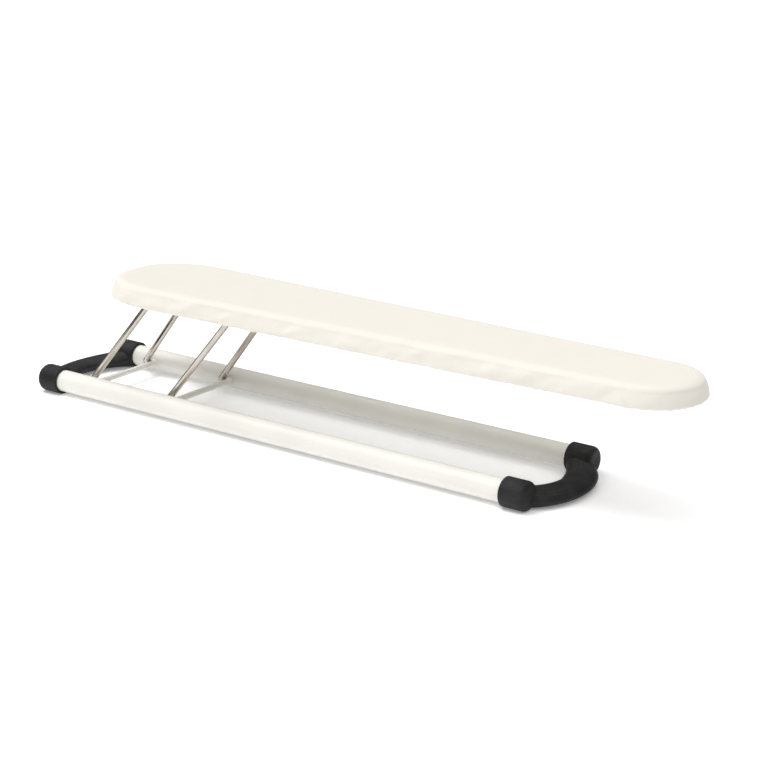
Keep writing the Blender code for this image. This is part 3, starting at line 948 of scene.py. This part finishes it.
def foam():
    """Open-cell foam: small dark pores in a cream body."""
    paint = Paint("cream_foam", Specular_IOR_Level=0.2)
    pores = paint.cells(0.9 * MM)
    clouds = paint.remap(paint.noise(25 * MM, 3), 0.3, 0.7)
    colour = paint.blend(clouds, FOAM_DARK, FOAM_LIGHT)
    colour = paint.blend(paint.remap(pores, 0.5, 0.1, 0, 0.35), colour, FOAM_PORE)
    roughness = paint.remap(pores, 0.0, 0.6, 0.98, 0.86)
    return paint.finish(colour, roughness, paint.bump(pores, 0.25 * MM, 0.7))


THREAD_PITCH = 0.45 * MM
SLUB_LENGTH = 26 * MM
WANDER_SIZE = 9 * MM  # the threads wander from side to side over this length
WANDER_PITCHES = 1.2
CROSSING = 0.12  # how softly one thread dives under the next: less is sharper
CREST_DIP = 0.4


def weave(paint, place, pitch):
    """Height of a plain weave, from 0 in the gaps to 1 on the threads, over coordinates in metres."""
    inputs = {"Vector": place, "Scale": 1 / WANDER_SIZE, "Detail": 2.0}
    wander = paint.node("ShaderNodeTexNoise", inputs).outputs["Color"]
    centred = paint.vectors("SUBTRACT", {0: wander, 1: (0.5, 0.5, 0.5)})
    shift = paint.vectors("SCALE", {0: centred, "Scale": WANDER_PITCHES * pitch})
    bent = paint.vectors("ADD", {0: place, 1: shift})
    split = paint.node("ShaderNodeSeparateXYZ", {0: bent})
    waves_across = []
    for axis in ("X", "Y"):
        turns = paint.math("MULTIPLY", split.outputs[axis], math.pi / pitch)
        waves_across.append(paint.math("SINE", turns))
    first, second = waves_across
    over = paint.remap(paint.math("MULTIPLY", first, second), -CROSSING, CROSSING)
    heights = []
    for crest, along in ((first, second), (second, first)):
        rise = paint.math("MULTIPLY", paint.math("ABSOLUTE", along), CREST_DIP)
        rise = paint.math("ADD", rise, 1 - CREST_DIP)
        heights.append(paint.math("MULTIPLY", paint.math("ABSOLUTE", crest), rise))
    warp = paint.math("MULTIPLY", over, heights[0])
    weft = paint.math("MULTIPLY", paint.math("SUBTRACT", 1.0, over), heights[1])
    return paint.math("ADD", warp, weft)


CREAM_GAP = (0.745, 0.700, 0.625, 1)
CREAM_THREAD = (0.845, 0.808, 0.738, 1)
CREAM_THICK = (0.885, 0.852, 0.785, 1)
CREAM_THIN = (0.72, 0.675, 0.595, 1)
CREAM_WORN = (0.80, 0.752, 0.665, 1)


def cotton():
    """The cover: plain woven cream cotton with uneven threads, softly sheened, faintly toned by use."""
    paint = Paint("cream_cotton", Specular_IOR_Level=0.25, Sheen_Weight=0.22, Sheen_Roughness=0.45)
    flat = paint.node("ShaderNodeUVMap", uv_map="flat").outputs[0]
    threads = weave(paint, flat, THREAD_PITCH)
    colour = paint.blend(threads, CREAM_GAP, CREAM_THREAD)
    slubs = []
    for sizes in ((SLUB_LENGTH, THREAD_PITCH, 1), (THREAD_PITCH, SLUB_LENGTH, 1)):
        slubs.append(paint.noise(1, 1, 0.5, paint.stretched(sizes, flat)))
    uneven = paint.math("MULTIPLY", paint.math("ADD", *slubs), 0.5)
    colour = paint.blend(paint.remap(uneven, 0.56, 0.72, 0, 0.5), colour, CREAM_THICK)
    colour = paint.blend(paint.remap(uneven, 0.44, 0.30, 0, 0.5), colour, CREAM_THIN)
    tone = paint.remap(paint.noise(85 * MM, 3, 0.55), 0.42, 0.72, 0, 0.30)
    colour = paint.blend(tone, colour, CREAM_WORN)
    roughness = paint.remap(paint.noise(30 * MM, 3), 0.3, 0.7, 0.78, 0.90)
    cloth = paint.bump(threads, 0.10 * MM, 0.55)
    creases = paint.bump(paint.noise(7 * MM, 3, 0.55), 0.25 * MM, 0.16, cloth)
    return paint.finish(colour, roughness, creases)


STRAND_DARK = (0.66, 0.62, 0.54, 1)
STRAND_LIGHT = (0.88, 0.85, 0.78, 1)


def thread():
    """Sewing cotton, twisted: a light and a darker strand side by side."""
    paint = Paint("sewing_thread", Specular_IOR_Level=0.3, Sheen_Weight=0.2)
    twist = paint.noise(0.35 * MM, 1)
    colour = paint.blend(paint.remap(twist, 0.35, 0.65), STRAND_DARK, STRAND_LIGHT)
    roughness = paint.remap(twist, 0.3, 0.7, 0.9, 0.7)
    return paint.finish(colour, roughness, paint.bump(twist, 0.08 * MM, 0.6))


BRAID_TOP = (0.82, 0.80, 0.75, 1)
BRAID_GAP = (0.60, 0.58, 0.53, 1)


def elastic():
    """Braided elastic cord: small slanting ribs."""
    paint = Paint("braided_elastic", Specular_IOR_Level=0.25, Sheen_Weight=0.2)
    braid = paint.cells(0.6 * MM)
    colour = paint.blend(paint.remap(braid, 0, 0.6), BRAID_TOP, BRAID_GAP)
    roughness = paint.remap(braid, 0, 0.6, 0.75, 0.95)
    return paint.finish(colour, roughness, paint.bump(braid, 0.12 * MM, -0.6))


def paint_nodes():
    """Gives every CAD node that is kept the material of its slot."""
    replaced = {"cover", "foam_pad"}
    makers = {
        "enamel": enamel,
        "rubber": rubber,
        "wire": wire,
        "plate": zinc,
        "rivet": rivet,
        "elastic": elastic,
    }
    finishes = {slot_name: maker() for slot_name, maker in makers.items()}
    for name, node in frame["nodes"].items():
        if name in replaced:
            continue
        for slot in node.material_slots:
            slot.material = finishes[slot.material.name]


# ---------------------------------------------------------------- the scene
make_camera()
make_world()
make_floor()
make_flag()
make_lights()
bpy.context.scene.view_settings.view_transform = "Standard"

paint_nodes()
cover, flat_cover = make_cover()
make_stitches(cover)
make_pad()
